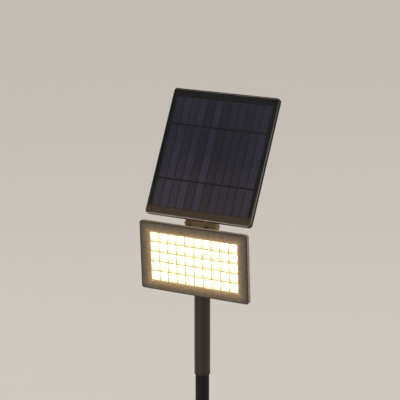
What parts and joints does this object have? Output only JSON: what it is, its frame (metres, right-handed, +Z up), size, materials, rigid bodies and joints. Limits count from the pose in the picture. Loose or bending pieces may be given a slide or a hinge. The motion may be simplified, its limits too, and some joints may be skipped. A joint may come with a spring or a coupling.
{
  "type": "solar garden light",
  "caption": "Ground-spike solar light: a tilting solar panel above a flat rectangular LED lamp head, on a two-tube pole that swivels.",
  "frame": {"origin": "on the pole's axis at ground level, under the spike's flange", "axes": "+Z up along the pole, the lamp faces -Y, +X to the right seen from the lit side"},
  "size_m": [0.17, 0.0969, 0.7698],
  "materials": {
    "black_abs": "fine moulded texture",
    "spike_polypropylene": "smooth moulded",
    "pole_powder_coat": "satin powder coat",
    "nylon": "smooth",
    "zinc_steel": "zinc plated",
    "clear_polycarbonate": "clear, polished",
    "clear_laminate": "clear, glossy",
    "reflector_plastic": "glossy white",
    "led_package": "warm white phosphor",
    "white_board": "white solder mask",
    "green_board": "green solder mask",
    "black_board": "black glass-fibre board",
    "board_component": "moulded epoxy",
    "silicone": "soft matt",
    "silicon_cell": "dark blue coated silicon",
    "tinned_ribbon": "dark coated flat ribbon",
    "nickel_contact": "nickel plated",
    "battery_sleeve": "blue shrink sleeve"
  },
  "bodies": {
    "pole_base": {"ground_spike": "spike_polypropylene", "lower_tube": "pole_powder_coat"},
    "pole_head": {"upper_tube": "pole_powder_coat", "pole_bush": "nylon", "stop_plug": "nylon", "head_bracket": "black_abs", "bracket_screw": "zinc_steel"},
    "lamp": {"lamp_bezel": "black_abs", "lamp_lens": "clear_polycarbonate", "lens_gasket": "silicone", "reflector_grid": "reflector_plastic", "led_chips": "led_package", "led_board": "white_board", "rear_shell": "black_abs", "shell_screws": "zinc_steel", "battery_holder": "nylon", "battery_cell": "battery_sleeve", "battery_contacts": "nickel_contact", "control_board": "green_board", "board_parts": "board_component", "switch_body": "board_component", "button_collar": "black_abs", "lamp_gland": "black_abs", "lamp_pivot_bolt": "zinc_steel", "lamp_pivot_nut": "zinc_steel", "lamp_pivot_washers": "nylon"},
    "power_button": {"power_button": "silicone"},
    "panel": {"panel_tray": "black_abs", "panel_cover": "clear_laminate", "cell_ribbons": "tinned_ribbon", "solar_cells": "silicon_cell", "cell_backing": "black_board", "panel_sealant": "silicone", "cell_terminals": "nickel_contact", "junction_cover": "black_abs", "junction_screws": "zinc_steel", "panel_gland": "black_abs", "panel_pivot_bolt": "zinc_steel", "panel_pivot_nut": "zinc_steel", "panel_pivot_washers": "nylon"}
  },
  "joints": [
    {"name": "head_swivel", "type": "hinge", "parent": "pole_base", "child": "pole_head", "pos_m": [0, 0, 0.22], "axis": [0, 0, 1], "continuous": true},
    {"name": "panel_tilt", "type": "hinge", "parent": "pole_head", "child": "panel", "pos_m": [0, 0, 0.432], "axis": [-1, 0, 0], "range_deg": [-6, 60]},
    {"name": "lamp_tilt", "type": "hinge", "parent": "pole_head", "child": "lamp", "pos_m": [0, -0.01216, 0.42801], "axis": [-1, 0, 0], "range_deg": [0, 42]},
    {"name": "button_press", "type": "slide", "parent": "lamp", "child": "power_button", "axis": [0, -0.9982, -0.0604], "range_m": [0, 0.0012], "stiffness_N_per_m": 2500, "springref_m": -0.0005}
  ]
}
